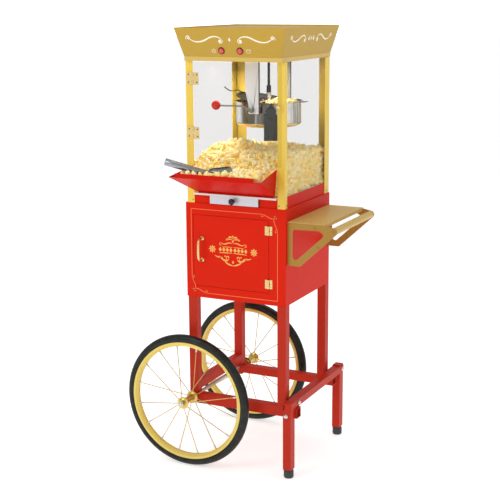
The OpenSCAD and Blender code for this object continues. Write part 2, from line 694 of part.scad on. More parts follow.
// ---- Contents ----
// Height of the heaped popcorn at x, y
function hump(x, y, cx, cy, w) = exp(-(pow((x - cx) / w, 2) + pow((y - cy) / w, 2)));
function heap_top(x, y) = y < 0 ? deck_z + 49 - 20 * pow(y / 90, 2) :
    deck_z + 52 + 62 * (1 - exp(-y / 38)) + 26 * hump(x, y, 88, 165, 62) + 3 * sin(x * 5) * cos(y * 4)
        - 8 * hump(x, y, 190, 185, 60);
module popcorn_heap() {
    ys = [-52, -34, -17, 1.5, 8, 20, 36, 58, 84, 112, 140, 168, 196, 224, 252, 280, 306, 330];
    nx = 14;
    ny = len(ys) - 1;
    floor_rise = (chute_lip_z - deck_z - 5) / (chute_out + 1);
    function left(y) = y < 2 ? 38 - 19 * max(0, -y) / chute_out : y < 16 ? lerp(38, 12, (y - 2) / 14) : 12;
    function px(i, y) = lerp(left(y), cab_w - left(y), i / nx);
    function low(y) = y < 4 ? deck_z + 9 + floor_rise * max(0, -y) : deck_z + 3;
    top = [for (y = ys, i = [0 : nx]) [px(i, y), y, heap_top(px(i, y), y)]];
    bottom = [for (y = ys, i = [0 : nx]) [px(i, y), y, low(y)]];
    row = nx + 1;
    n = len(top);
    color("#f6dc83") cart() polyhedron(concat(top, bottom), concat(
        [for (j = [0 : ny - 1], i = [0 : nx - 1]) [j * row + i, (j + 1) * row + i, (j + 1) * row + i + 1]],
        [for (j = [0 : ny - 1], i = [0 : nx - 1]) [j * row + i, (j + 1) * row + i + 1, j * row + i + 1]],
        [for (j = [0 : ny - 1], i = [0 : nx - 1])
            [n + j * row + i, n + (j + 1) * row + i + 1, n + (j + 1) * row + i]],
        [for (j = [0 : ny - 1], i = [0 : nx - 1])
            [n + j * row + i, n + j * row + i + 1, n + (j + 1) * row + i + 1]],
        [for (i = [0 : nx - 1]) [i, i + 1, n + i + 1, n + i]],
        [for (i = [0 : nx - 1]) [ny * row + i + 1, ny * row + i, n + ny * row + i, n + ny * row + i + 1]],
        [for (j = [0 : ny - 1]) [(j + 1) * row, j * row, n + j * row, n + (j + 1) * row]],
        [for (j = [0 : ny - 1])
            [j * row + nx, (j + 1) * row + nx, n + (j + 1) * row + nx, n + j * row + nx]]));
}
module scoop() {
    wall = 1.2;
    color(steel) cart() translate(scoop_at) rotate([0, -blade_rise, scoop_turn]) {
        intersection() {
            difference() {
                rod_x(0, scoop_len, 0, 0, scoop_r);
                rod_x(wall, scoop_len + 1, 0, 0, scoop_r - wall);
            }
            box([0, -scoop_r, -scoop_r], [scoop_len, scoop_r, 4]);
        }
        difference() {
            translate([5, 0, -11]) rotate([0, -90 + handle_rise + blade_rise, 0]) difference() {
                cylinder(r = 10.5, h = 139);
                translate([0, 0, 12]) cylinder(r = 9, h = 130);
            }
            box([0.6, -20, -40], [30, 20, 20]);
        }
    }
}
module power_inlet() {
    color("#202020") cart() translate([60, cab_d - 8, base_z + 16]) rotate([-90, 0, 0]) rotate_extrude()
        polygon([[4.2, 0], [9.5, 0], [9.5, 3], [7, 3], [7, 6], [10, 6], [10, 9], [7, 16], [4.2, 16]]);
}

leg_front_left();
leg_back_left();
leg_front_right();
leg_back_right();
front_rail();
rear_rail();
left_rail();
side_rail();
lower_leg_front();
lower_leg_back();
feet();
frame_bolts();
axle();
tyre_front();
rim_front();
spokes_front();
hub_front();
tyre_back();
rim_back();
spokes_back();
hub_back();
cabinet_shell();
cabinet_door();
cabinet_handle();
hinge_plates();
cabinet_door_leaves();
bracket_front();
bracket_back();
shelf();
push_handle();
popper_base();
deck_plate();
crumb_drawer();
drawer_knob();
corner_posts();
left_glass();
right_glass();
back_glass();
glass_door();
glass_door_leaves();
glass_door_knob();
chute();
marquee();
marquee_base();
light_button();
kettle_button();
button_bezels();
stir_motor();
lamp();
kettle_hangers();
kettle_pot();
kettle_lid();
kettle_plug();
tilt_handle();
tilt_ball();
drive_shaft();
stirrer();
popcorn_heap();
scoop();
power_inlet();
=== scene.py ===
"""Popcorn cart: finishes, painted scrollwork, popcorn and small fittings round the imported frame."""

import math

import bmesh
import bpy
import numpy as np
from mathutils import Matrix, Vector


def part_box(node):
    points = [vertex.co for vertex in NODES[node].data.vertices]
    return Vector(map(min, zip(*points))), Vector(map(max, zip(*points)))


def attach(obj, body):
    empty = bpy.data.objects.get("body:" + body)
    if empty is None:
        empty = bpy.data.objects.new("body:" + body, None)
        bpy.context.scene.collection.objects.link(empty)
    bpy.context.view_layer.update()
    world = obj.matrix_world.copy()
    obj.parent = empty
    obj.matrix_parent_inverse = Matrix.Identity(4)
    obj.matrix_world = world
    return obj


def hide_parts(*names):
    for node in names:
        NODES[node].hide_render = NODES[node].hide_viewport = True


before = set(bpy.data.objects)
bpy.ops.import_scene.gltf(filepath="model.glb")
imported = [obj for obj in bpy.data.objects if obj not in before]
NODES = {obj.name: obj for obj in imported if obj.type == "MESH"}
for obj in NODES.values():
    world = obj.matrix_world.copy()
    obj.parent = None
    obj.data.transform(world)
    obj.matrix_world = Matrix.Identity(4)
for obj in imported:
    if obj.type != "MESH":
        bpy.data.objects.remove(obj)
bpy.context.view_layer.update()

MM = 0.001
rng = np.random.default_rng(7)

# Cart axes, as the CAD has them: x from the cabinet's left side, y from its front face, in mm
CAB_LO, CAB_HI = (Vector(c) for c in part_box("cabinet_shell"))
CAB_W = 330
CAB_Z0 = CAB_LO.z / MM
CAB_Z1 = CAB_HI.z / MM
ORIGIN = Vector((CAB_HI.x - CAB_W * MM, CAB_LO.y, 0))


def at(x, y, z):
    """Place in the row frame of a point in cart axes, in mm."""
    return ORIGIN + Vector((x, y, z)) * MM


def extent(node):
    """Lowest and highest corner of a CAD node in cart axes, in mm."""
    lo, hi = (Vector(c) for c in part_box(node))
    return (lo - ORIGIN) / MM, (hi - ORIGIN) / MM


def middle_x(node):
    """Middle of a CAD node from left to right, in mm."""
    lo, hi = extent(node)
    return (lo.x + hi.x) / 2


def new_object(name, data):
    """A mesh, light or camera, put into the scene."""
    obj = bpy.data.objects.new(name, data)
    bpy.context.scene.collection.objects.link(obj)
    return obj


# ---------------------------------------------------------------- materials
class Shader:
    """A Principled material and the few node shapes that its detail is made of."""

    def __init__(self, name, color, rough=0.4, metal=0.0, **sockets):
        self.mat = bpy.data.materials.new(name)
        self.mat.use_nodes = True
        self.tree = self.mat.node_tree
        self.bsdf = self.tree.nodes["Principled BSDF"]
        self.color = color
        self.bsdf.inputs["Base Color"].default_value = (*color, 1)
        self.bsdf.inputs["Roughness"].default_value = rough
        self.bsdf.inputs["Metallic"].default_value = metal
        for key, value in sockets.items():
            self.bsdf.inputs[key.replace("_", " ")].default_value = value
        self.mat.diffuse_color = (*color, 1)
        self.height = None

    def node(self, kind, **values):
        """A new node; each value goes to the socket of that name, or else to the property."""
        n = self.tree.nodes.new(kind)
        for key, value in values.items():
            if key in n.inputs:
                n.inputs[key].default_value = value
            else:
                setattr(n, key, value)
        return n

    def link(self, a, b):
        self.tree.links.new(a, b)

    def coords(self, scale=(1, 1, 1)):
        """Object coordinates in metres, stretched by scale."""
        place = self.node("ShaderNodeTexCoord")
        mapping = self.node("ShaderNodeMapping")
        mapping.inputs["Scale"].default_value = scale
        self.link(place.outputs["Object"], mapping.inputs["Vector"])
        return mapping.outputs["Vector"]

    def noise(self, scale, detail=3.0, stretch=(1, 1, 1), rough=0.5):
        """Noise in the object's own coordinates; a stretch above 1 packs it closer on that axis."""
        n = self.node("ShaderNodeTexNoise", Scale=scale, Detail=detail, Roughness=rough)
        self.link(self.coords(stretch), n.inputs["Vector"])
        return n.outputs["Fac"]

    def spread(self, fac, low, high, start=0.3, stop=0.7):
        """fac between start and stop becomes a value between low and high."""
        n = self.node("ShaderNodeMapRange")
        n.inputs["From Min"].default_value = start
        n.inputs["From Max"].default_value = stop
        n.inputs["To Min"].default_value = low
        n.inputs["To Max"].default_value = high
        self.link(fac, n.inputs["Value"])
        return n.outputs["Result"]

    def mix(self, fac, a, b):
        """Colour a, a tuple or a socket, moves to b where fac is high."""
        n = self.node("ShaderNodeMix", data_type="RGBA")
        colour = [s for s in n.inputs if s.type == "RGBA"]
        for socket, value in zip(colour, (a, b)):
            if isinstance(value, tuple):
                socket.default_value = (*value, 1)
            else:
                self.link(value, socket)
        factor = [s for s in n.inputs if s.name == "Factor" and s.type == "VALUE"][0]
        self.link(fac, factor)
        return [s for s in n.outputs if s.type == "RGBA"][0]

    def tint(self, fac, other):
        """Base colour moves towards other where fac is high."""
        base = self.bsdf.inputs["Base Color"]
        now = base.links[0].from_socket if base.links else self.color
        self.link(self.mix(fac, now, other), base)
        return self

    def vary(self, scale, amount):
        """Slow drift of the colour, darker by up to amount."""
        dark = tuple(c * (1 - amount) for c in self.color)
        return self.tint(self.spread(self.noise(scale, 2.0), 0.0, 1.0), dark)

    def gloss(self, scale, low, high, stretch=(1, 1, 1)):
        """Roughness that wanders between low and high."""
        self.link(self.spread(self.noise(scale, 4.0, stretch), low, high), self.bsdf.inputs["Roughness"])
        return self

    def bump(self, fac, strength, depth):
        """Relief from fac, up to depth in mm, on top of any relief laid before."""
        n = self.node("ShaderNodeBump", Strength=strength, Distance=depth * MM)
        self.link(fac, n.inputs["Height"])
        if self.height:
            self.link(self.height, n.inputs["Normal"])
        self.height = n.outputs["Normal"]
        self.link(self.height, self.bsdf.inputs["Normal"])
        return self


def painted(name, color, rough=0.3, peel=0.25, shine=0.2):
    """Powder-coated sheet: slow colour drift and orange peel."""
    s = Shader(name, color, rough, Specular_IOR_Level=shine)
    s.vary(3, 0.06).gloss(90, rough - 0.03, rough + 0.04)
    s.bump(s.noise(520, 2.0), peel, 0.1)
    return s.mat


def brushed(name, color, grain, rough, metal=1.0):
    """Metal with fine lines across the stretched axis."""
    s = Shader(name, color, rough, metal)
    lines = s.noise(22, 6.0, grain, 0.65)
    s.tint(s.spread(lines, 0.0, 0.55), tuple(c * 0.80 for c in color))
    s.gloss(30, rough - 0.08, rough + 0.1, grain)
    s.bump(lines, 0.35, 0.08)
    return s.mat


def polished(name, color, rough):
    """Bright metal with faint smears."""
    s = Shader(name, color, rough, 1.0)
    s.vary(14, 0.10).gloss(26, rough, rough + 0.12)
    s.bump(s.noise(260, 3.0), 0.12, 0.05)
    return s.mat


def moulded(name, color, rough, grain=0.2):
    """Plastic or rubber with a fine moulded grain."""
    s = Shader(name, color, rough)
    s.vary(30, 0.2).gloss(60, rough - 0.06, rough + 0.08)
    s.bump(s.noise(1500, 2.0), grain, 0.06)
    return s.mat


def rubber():
    """Tyre rubber with dusty patches."""
    s = Shader("tyre_rubber", (0.009, 0.011, 0.009), 0.34, Specular_IOR_Level=0.28)
    s.tint(s.spread(s.noise(60, 5.0), 0.0, 0.6, 0.45, 0.75), (0.035, 0.036, 0.028))
    s.gloss(45, 0.28, 0.44)
    s.bump(s.noise(1200, 3.0), 0.35, 0.1)
    return s.mat


def streaked(name, bright, dark, rough):
    """Polished metal whose upright streaks stand in for what it reflects."""
    s = Shader(name, bright, rough, 1.0)
    s.tint(s.spread(s.noise(20, 3.0, (1, 1, 0.04), 0.6), 0.0, 0.95, 0.43, 0.57), dark)
    s.tint(s.spread(s.noise(60, 4.0, (1, 1, 0.3)), 0.0, 0.3), dark)
    s.gloss(30, rough, rough + 0.1)
    s.bump(s.noise(300, 3.0), 0.1, 0.04)
    return s.mat


def past(s, axis, place):
    """1 beyond a place along an axis of the object's own coordinates, 0 before it."""
    split = s.node("ShaderNodeSeparateXYZ")
    s.link(s.coords(), split.inputs["Vector"])
    step = s.node("ShaderNodeMath", operation="GREATER_THAN")
    s.link(split.outputs[axis], step.inputs[0])
    step.inputs[1].default_value = place
    return step.outputs["Value"]


def hanger_enamel():
    """White plates; the back one and the front one's free edge are in shade."""
    lo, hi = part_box("kettle_hangers")
    s = Shader("hanger_enamel", (0.93, 0.95, 0.97), 0.3, Specular_IOR_Level=0.3)
    s.vary(12, 0.1)
    s.tint(past(s, "Y", (lo[1] + hi[1]) / 2), (0.34, 0.33, 0.31))
    s.tint(past(s, "X", hi[0] - 4 * MM), (0.10, 0.09, 0.08))
    s.gloss(60, 0.26, 0.36)
    s.bump(s.noise(500, 2.0), 0.2, 0.08)
    return s.mat


def clear(name, color, alpha):
    """Thin see-through sheet; alpha is how much of it shows."""
    s = Shader(name, color, 0.05, 0.0, Alpha=alpha, Specular_IOR_Level=0.5)
    s.gloss(8, 0.03, 0.09)
    s.mat.surface_render_method = "BLENDED"
    return s.mat


def popped():
    """Popped corn: each kernel's own tint, darker and yellower in its folds (partly the corn's own colour,
    partly painted shade), a faint glow of painted light, and a rough foamy skin.
    """
    s = Shader("popped_corn", (0.93, 0.80, 0.45), 0.6, 0.0, Subsurface_Weight=0.25, Subsurface_Scale=0.006)
    own = s.node("ShaderNodeAttribute", attribute_name="tint")
    s.link(own.outputs["Color"], s.bsdf.inputs["Base Color"])
    # Painted light: each kernel glows faintly in its own tint, so the heap stays bright
    s.link(own.outputs["Color"], s.bsdf.inputs["Emission Color"])
    s.bsdf.inputs["Emission Strength"].default_value = 0.09
    s.bump(s.noise(700, 4.0), 0.5, 0.5)
    return s.mat


M = {
    "red": painted("red_enamel", (0.72, 0.018, 0.004), 0.40, 0.25, 0.07),
    # Stand red: the cabinet's red made darker as painted shade on the low legs and rails, and a touch
    # browner in hue
    "stand": painted("stand_red_shaded_enamel", (0.52, 0.026, 0.008), 0.40, 0.25, 0.15),
    "gold": painted("gold_enamel", (0.54, 0.34, 0.048), 0.40, 0.4),
    "tan": painted("tan_gold_enamel", (0.66, 0.45, 0.14), 0.40, 0.3),
    "bracket": painted("bracket_enamel", (0.42, 0.235, 0.045), 0.42, 0.3),
    "chute": painted("chute_enamel", (0.60, 0.010, 0.003), 0.40, 0.25, 0.06),
    "yellow": painted("yellow_gold_enamel", (0.88, 0.62, 0.08), 0.30, 0.2, 0.35),
    "rim": painted("rim_enamel", (0.82, 0.62, 0.12), 0.20, 0.15, 0.6),
    "hub": polished("hub_plate", (0.74, 0.56, 0.16), 0.24),
    "spoke": polished("spoke_brass", (0.58, 0.42, 0.14), 0.26),
    "trim": painted("pale_gold_enamel", (0.70, 0.48, 0.12), 0.34, 0.3, 0.3),
    "cream": painted("cream_enamel", (0.86, 0.84, 0.78), 0.40),
    "brass": polished("polished_brass", (0.83, 0.62, 0.26), 0.2),
    "steel": brushed("brushed_steel", (0.62, 0.62, 0.61), (1, 1, 14), 0.3),
    "dark_steel": brushed("dark_steel", (0.11, 0.10, 0.075), (14, 1, 1), 0.36),
    "rod": brushed("rod_steel", (0.26, 0.25, 0.23), (1, 20, 20), 0.3),
    "shaft": brushed("shaft_steel", (0.05, 0.05, 0.05), (1, 1, 20), 0.34),
    "zinc": polished("zinc_plate", (0.70, 0.69, 0.64), 0.26),
    "nickel": streaked("polished_pot_steel", (0.95, 0.93, 0.86), (0.12, 0.11, 0.085), 0.13),
    "alloy": brushed("scoop_aluminium", (0.36, 0.385, 0.41), (2, 2, 30), 0.34),
    "drawer": brushed("drawer_steel", (0.70, 0.74, 0.79), (2, 2, 40), 0.36, 0.45),
    "white": hanger_enamel(),
    "tyre": rubber(),
    "foot": moulded("foot_rubber", (0.03, 0.035, 0.035), 0.5, 0.4),
    "black": moulded("black_knob", (0.012, 0.012, 0.014), 0.18, 0.1),
    "dark": moulded("plug_plastic", (0.05, 0.062, 0.064), 0.30),
    "button": moulded("button_plastic", (0.80, 0.10, 0.07), 0.2, 0.1),
    "bezel": moulded("bezel_plastic", (0.16, 0.010, 0.008), 0.25, 0.1),
    "ball": moulded("ball_plastic", (0.70, 0.010, 0.012), 0.12, 0.05),
    "glass": clear("door_glass", (0.10, 0.08, 0.07), 0.06),
    "lamp": clear("lamp_glass", (0.98, 0.92, 0.78), 0.75),
    "corn": popped(),
    "stripe": painted("gold_stripe", (0.95, 0.22, 0.08), 0.45, 0.2, 0.1),
    "ivory": painted("ivory_scroll", (0.97, 0.93, 0.76), 0.45, 0.2, 0.1),
    "emblem": painted("emblem_gold", (0.95, 0.50, 0.13), 0.42, 0.3, 0.1),
}

FINISH = {
    "red": "cabinet_shell cabinet_door popper_base",
    "chute": "chute",
    "stand": "leg_front_left leg_back_left leg_front_right leg_back_right front_rail rear_rail "
    "left_rail side_rail lower_leg_front lower_leg_back",
    "gold": "marquee",
    "tan": "shelf push_handle",
    "bracket": "bracket_front bracket_back",
    "yellow": "corner_posts",
    "rim": "rim_front rim_back",
    "hub": "hub_front hub_back",
    "spoke": "spokes_front spokes_back",
    "trim": "marquee_base",
    "cream": "deck_plate",
    "brass": "hinge_plates cabinet_door_leaves glass_door_leaves glass_door_knob cabinet_handle",
    "steel": "stir_motor stirrer tilt_handle",
    "white": "kettle_hangers",
    "dark_steel": "kettle_lid",
    "shaft": "drive_shaft",
    "zinc": "frame_bolts axle",
    "nickel": "kettle_pot",
    "alloy": "scoop",
    "drawer": "crumb_drawer",
    "tyre": "tyre_front tyre_back",
    "foot": "feet",
    "black": "drawer_knob",
    "dark": "kettle_plug power_inlet",
    "button": "light_button kettle_button",
    "bezel": "button_bezels",
    "ball": "tilt_ball",
    "glass": "left_glass right_glass back_glass glass_door",
    "lamp": "lamp",
    "corn": "popcorn_heap",
}
# Folded sheet and tube, whose edges get a small round that catches the light
SOFT_EDGED = FINISH["stand"] + (
    " cabinet_shell cabinet_door marquee marquee_base chute bracket_front bracket_back shelf"
    " corner_posts crumb_drawer popper_base deck_plate kettle_hangers"
)
WELD_GAP, EDGE_ROUND = 0.02, 0.7
for key, names in FINISH.items():
    for name in names.split():
        mesh = NODES[name].data
        mesh.materials.clear()
        mesh.materials.append(M[key])
for name in SOFT_EDGED.split():
    weld = NODES[name].modifiers.new("weld", "WELD")
    weld.merge_threshold = WELD_GAP * MM
    bevel = NODES[name].modifiers.new("edges", "BEVEL")
    bevel.width = EDGE_ROUND * MM
    bevel.segments = 2
    bevel.limit_method = "ANGLE"
    bevel.angle_limit = math.radians(35)
    bevel.harden_normals = True


# ---------------------------------------------------------------- mesh helpers
class Build:
    """Collects vertices and faces of one piece."""

    def __init__(self):
        self.verts = []
        self.faces = []

    def add(self, verts, faces):
        base = len(self.verts)
        self.verts += [tuple(v) for v in verts]
        self.faces += [tuple(base + i for i in f) for f in faces]

    def piece(self, name, mat, body, slot, smooth=False):
        """The object made of what was added, riding on a body."""
        mesh = bpy.data.meshes.new(name)
        mesh.from_pydata(self.verts, [], self.faces)
        mesh.validate()
        mesh.materials.append(mat)
        mesh.polygons.foreach_set("use_smooth", [smooth] * len(mesh.polygons))
        obj = new_object(name, mesh)
        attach(obj, body)
        return obj


# Paint stands a little proud of its face and reaches a little into it, in mm
PAINT_TOP, PAINT_ROOT = 0.12, -0.05


class Plane:
    """A flat face to paint on: origin, two directions along it and its outward normal."""

    def __init__(self, origin, across, up):
        self.o = Vector(origin)
        self.u = Vector(across).normalized()
        self.n = self.u.cross(Vector(up)).normalized()
        self.v = self.n.cross(self.u).normalized()

    def p(self, a, b, h):
        """Point a along, b up and h out of the face, in mm."""
        return self.o + self.u * a * MM + self.v * b * MM + self.n * h * MM


def bezier(p0, p1, p2, p3, n=14):
    """Cubic curve in a plane, as n + 1 points."""
    pts = []
    for i in range(n + 1):
        t = i / n
        k = ((1 - t) ** 3, 3 * t * (1 - t) ** 2, 3 * t * t * (1 - t), t**3)
        pts.append(tuple(sum(w * p[j] for w, p in zip(k, (p0, p1, p2, p3))) for j in (0, 1)))
    return pts


def curl(cx, cy, r0, r1, a0, turn, n=18):
    """Spiral round cx, cy from radius r0 to r1, starting at angle a0 and turning by turn degrees."""
    pts = []
    for i in range(n + 1):
        t = i / n
        a = math.radians(a0 + turn * t)
        r = r0 + (r1 - r0) * t
        pts.append((cx + r * math.cos(a), cy + r * math.sin(a)))
    return pts


def stroke(build, plane, pts, width, taper=1.0):
    """A flat raised brush stroke along pts; taper below 1 thins its ends."""
    n = len(pts)
    rows = []
    for i, (x, y) in enumerate(pts):
        ax, ay = pts[max(0, i - 1)]
        bx, by = pts[min(n - 1, i + 1)]
        length = math.hypot(bx - ax, by - ay) or 1
        nx, ny = -(by - ay) / length, (bx - ax) / length
        w = width / 2 * (taper + (1 - taper) * math.sin(math.pi * i / (n - 1)))
        rows.append(((x + nx * w, y + ny * w), (x - nx * w, y - ny * w)))
    verts = []
    for left, right in rows:
        verts += [plane.p(*left, PAINT_TOP), plane.p(*right, PAINT_TOP),
                  plane.p(*right, PAINT_ROOT), plane.p(*left, PAINT_ROOT)]
    faces = []
    for i in range(n - 1):
        a, b = 4 * i, 4 * i + 4
        faces += [(a, a + 1, b + 1, b), (a + 1, a + 2, b + 2, b + 1), (a + 2, a + 3, b + 3, b + 2),
                  (a + 3, a, b, b + 3)]
    faces += [(3, 2, 1, 0), (4 * n - 4, 4 * n - 3, 4 * n - 2, 4 * n - 1)]
    build.add(verts, faces)


def dot(build, plane, x, y, r, squash=1.0, sides=20):
    """A flat raised disc, or an oval or lozenge when it has few sides."""
    ring = []
    for i in range(sides):
        a = 2 * math.pi * i / sides
        ring.append((x + r * math.cos(a), y + r * squash * math.sin(a)))
    verts = [plane.p(*q, h) for h in (PAINT_TOP, PAINT_ROOT) for q in ring]
    faces = [tuple(range(sides)), tuple(range(2 * sides - 1, sides - 1, -1))]
    faces += [(i, i + sides, (i + 1) % sides + sides, (i + 1) % sides) for i in range(sides)]
    build.add(verts, faces)


def skin(build, verts, sides):
    """Joins rings of the same number of sides into one tube, closed at both ends."""
    faces = []
    for ring in range(0, len(verts) - sides, sides):
        for i in range(sides):
            k = (i + 1) % sides
            faces.append((ring + i, ring + k, ring + sides + k, ring + sides + i))
    faces.append(tuple(range(sides - 1, -1, -1)))
    faces.append(tuple(range(len(verts) - sides, len(verts))))
    build.add(verts, faces)


def lathe(build, origin, axis, profile, sides=24):
    """Turned shape: profile is (radius, distance along axis) in mm."""
    turn = Vector((0, 0, 1)).rotation_difference(Vector(axis)).to_matrix()
    verts = []
    for r, h in profile:
        for i in range(sides):
            a = 2 * math.pi * i / sides
            verts.append(Vector(origin) + turn @ Vector((r * math.cos(a), r * math.sin(a), h)) * MM)
    skin(build, verts, sides)


def tube(build, pts, radius, sides=14):
    """Round wire through pts, given in the row frame; radius in mm, one number or one per point."""
    pts = [Vector(p) for p in pts]
    radii = radius if isinstance(radius, (list, tuple)) else [radius] * len(pts)
    normal = None
    verts = []
    for i, p in enumerate(pts):
        d = (pts[min(i + 1, len(pts) - 1)] - pts[max(i - 1, 0)]).normalized()
        if normal is None:
            normal = d.orthogonal().normalized()
        normal = (normal - d * normal.dot(d)).normalized()
        side = d.cross(normal)
        for k in range(sides):
            a = 2 * math.pi * k / sides
            verts.append(p + (normal * math.cos(a) + side * math.sin(a)) * radii[i] * MM)
    skin(build, verts, sides)


def smooth_path(pts, steps=8):
    """Catmull-Rom curve through pts."""
    pts = [Vector(p) for p in pts]
    ends = [pts[0] * 2 - pts[1]] + pts + [pts[-1] * 2 - pts[-2]]
    out = []
    for i in range(1, len(ends) - 2):
        a, b, c, d = ends[i - 1:i + 3]
        for s in range(steps):
            t = s / steps
            out.append(0.5 * (2 * b + (c - a) * t + (2 * a - 5 * b + 4 * c - d) * t * t
                              + (3 * b - a - 3 * c + d) * t**3))
    out.append(pts[-1])
    return out


# ---------------------------------------------------------------- painted scrollwork
def corner_scroll(build, plane, corner, along, up):
    """S-scroll with ball ends on both sides of a stripe's corner; along and up are +1 or -1."""
    cx, cy = corner
    for swap in (False, True):
        def place(a, b):
            a, b = (b, a) if swap else (a, b)
            return cx + along * a, cy + up * b

        wave = bezier(place(53, 0), place(37, 0), place(29, 12), place(15, 11.5))
        hook = bezier(place(15, 11.5), place(7, 11), place(3, 7), place(8, 4.5), 8)
        stroke(build, plane, wave + hook[1:], 2.2, 0.8)
        tail = bezier(place(40, 2), place(46, 7), place(51, 10), place(52, 6), 8)
        stroke(build, plane, tail, 1.4, 0.7)
        dot(build, plane, *place(8.5, 4.5), 2.8)
        dot(build, plane, *place(51, 6), 2.5)


front = Plane(at(0, 0, 0), (1, 0, 0), (0, 0, 1))
# Stripes round the cabinet's front face; two of its corners carry scrolls
STRIPE_L, STRIPE_R, STRIPE_LO, STRIPE_HI = 14, CAB_W - 27, CAB_Z0 + 15, CAB_Z1 - 19
STRIPE_W = 1.9
SCROLL_LENGTH = 52  # what a corner scroll takes from each stripe that ends there
stripes = Build()
for run in (
    [(STRIPE_L, STRIPE_LO + SCROLL_LENGTH), (STRIPE_L, STRIPE_HI)],
    [(STRIPE_L - STRIPE_W / 2, STRIPE_HI), (STRIPE_R - SCROLL_LENGTH, STRIPE_HI)],
    [(STRIPE_R, STRIPE_HI - SCROLL_LENGTH), (STRIPE_R, STRIPE_LO)],
    [(STRIPE_R + STRIPE_W / 2, STRIPE_LO), (STRIPE_L + SCROLL_LENGTH, STRIPE_LO)],
):
    stroke(stripes, front, run, STRIPE_W)
corner_scroll(stripes, front, (STRIPE_R, STRIPE_HI), -1, -1)
corner_scroll(stripes, front, (STRIPE_L, STRIPE_LO), 1, 1)
stripes.piece("cabinet_pinstripes", M["stripe"], "cart", slot="gold_paint")


def emblem():
    """Symmetric flourish in place of any wording: rosettes, bars, leaves and scrolls."""
    b = Build()
    lo, hi = extent("cabinet_door")
    cx = (lo.x + hi.x) / 2 + 8
    cz = (lo.z + hi.z) / 2 + 6
    face = Plane(at(cx, lo.y, cz), (1, 0, 0), (0, 0, 1))
    bold = 1.3
    rosette_x, rosette_y = 70, 3

    def line(pts, width, taper):
        stroke(b, face, pts, width * bold, taper)

    for s in (1, -1):
        def m(pts):
            return [(s * x, y) for x, y in pts]

        # Fleuron at the top
        line(m(bezier((0, 41), (8, 46), (15, 46), (13, 38))), 3.4, 0.3)
        line(m(bezier((0, 36), (10, 38), (20, 40), (21, 33))), 2.6, 0.3)
        line(m(curl(19, 36, 4, 1.2, -60, 300)), 1.4, 0.6)
        # Upper scroll row
        line(m(bezier((3, 24), (14, 33), (26, 13), (40, 25))), 2.6, 0.35)
        line(m(curl(41, 20, 5, 1.6, 95, -260)), 1.6, 0.6)
        # Row of lozenges between two bars
        line(m([(2, 13), (20, 13), (38, 12)]), 1.6, 0.5)
        for i in range(4):
            dot(b, face, s * (7 + 12 * i), 4, 5.4, 1.35, 4)
        line(m([(2, -5), (24, -5.5), (46, -6.5)]), 2.2, 0.5)
        # Side rosettes
        for k in range(8):
            a = math.radians(k * 45)
            petal = [(rosette_x + r * math.cos(a), rosette_y + r * math.sin(a)) for r in (3.4, 7, 12.5)]
            line(m(petal), 4.2, 0.15)
        dot(b, face, s * rosette_x, rosette_y, 3.2)
        # Leaves and scrolls underneath
        line(m(bezier((62, -16), (50, -24), (40, -16), (34, -24))), 3.2, 0.25)
        line(m(bezier((46, -17), (34, -30), (22, -34), (14, -24))), 4.2, 0.25)
        line(m(curl(17, -20, 7, 1.6, -80, 330)), 2.2, 0.4)
        line(m(bezier((30, -30), (20, -40), (10, -42), (0, -44))), 3.4, 0.3)
        dot(b, face, s * 27, -16, 2.2)
    dot(b, face, 0, 31, 3.2, 1.5, 4)
    dot(b, face, 0, 47, 2.4)
    dot(b, face, 0, -33, 3.6, 1.5, 4)
    b.piece("door_flourish", M["emblem"], "storage_door", slot="gold_paint")


emblem()


def marquee_faces():
    """Planes of the flared top's four sloped faces, each from the middle of its lower edge."""
    base_lo, base_hi = extent("marquee_base")
    lo, hi = extent("marquee")
    rise = hi.z - lo.z
    cx, cy = (lo.x + hi.x) / 2, (lo.y + hi.y) / 2
    out_y = base_lo.y - lo.y
    out_x = base_lo.x - lo.x
    return {
        "front": Plane(at(cx, base_lo.y, lo.z), (1, 0, 0), (0, -out_y, rise)),
        "right": Plane(at(base_hi.x, cy, lo.z), (0, 1, 0), (out_x, 0, rise)),
        "back": Plane(at(cx, base_hi.y, lo.z), (-1, 0, 0), (0, out_y, rise)),
        "left": Plane(at(base_lo.x, cy, lo.z), (0, -1, 0), (-out_x, 0, rise)),
    }


def scroll(build, plane, x0, x1, y, s):
    """Long S-scroll from its outer curl at x0 to its inner curl at x1; s, +1 or -1, mirrors it."""
    span = x1 - x0
    joint = (x0 + span * 0.60, y + 3)
    wave = bezier((x0 + s * 6, y + 6), (x0 + span * 0.22, y - 16), (x0 + span * 0.46, y - 6), joint, 20)
    rest = bezier(joint, (x0 + span * 0.74, y + 12), (x1 - s * 10, y + 12), (x1 - s * 2, y - 1), 14)
    stroke(build, plane, wave + rest[1:], 4.6, 0.4)
    for x, lift, r, start, turn in (
        (x0 + s * 6, 4, 8.2, 90 + s * 120, 290),
        (x1 - s * 7, -4, 8.0, 90 - s * 60, 300),
    ):
        stroke(build, plane, curl(x, y + lift, r, 3.4, start, -s * turn), 2.4, 0.7)
        dot(build, plane, x, y + lift, 3.6)


def button_icons(build, plane):
    """Line icons: a lamp beside the light's button and a kettle beside the kettle's."""
    lamp_x = middle_x("light_button") - middle_x("marquee") - 25
    pot_x = middle_x("kettle_button") - middle_x("marquee") + 27
    y = 18
    stroke(build, plane, curl(lamp_x, y, 4.2, 4.2, 0, 360, 24), 1.1)
    for k in range(8):
        a = math.radians(45 * k)
        stroke(build, plane, [(lamp_x + r * math.cos(a), y + r * math.sin(a)) for r in (5.8, 7.6)], 0.9)
    pot = [(pot_x - 6, y + 3), (pot_x - 5, y - 5), (pot_x + 5, y - 5), (pot_x + 6, y + 3)]
    stroke(build, plane, pot, 1.1)
    stroke(build, plane, [(pot_x - 8, y + 4), (pot_x + 8, y + 4)], 1.2)


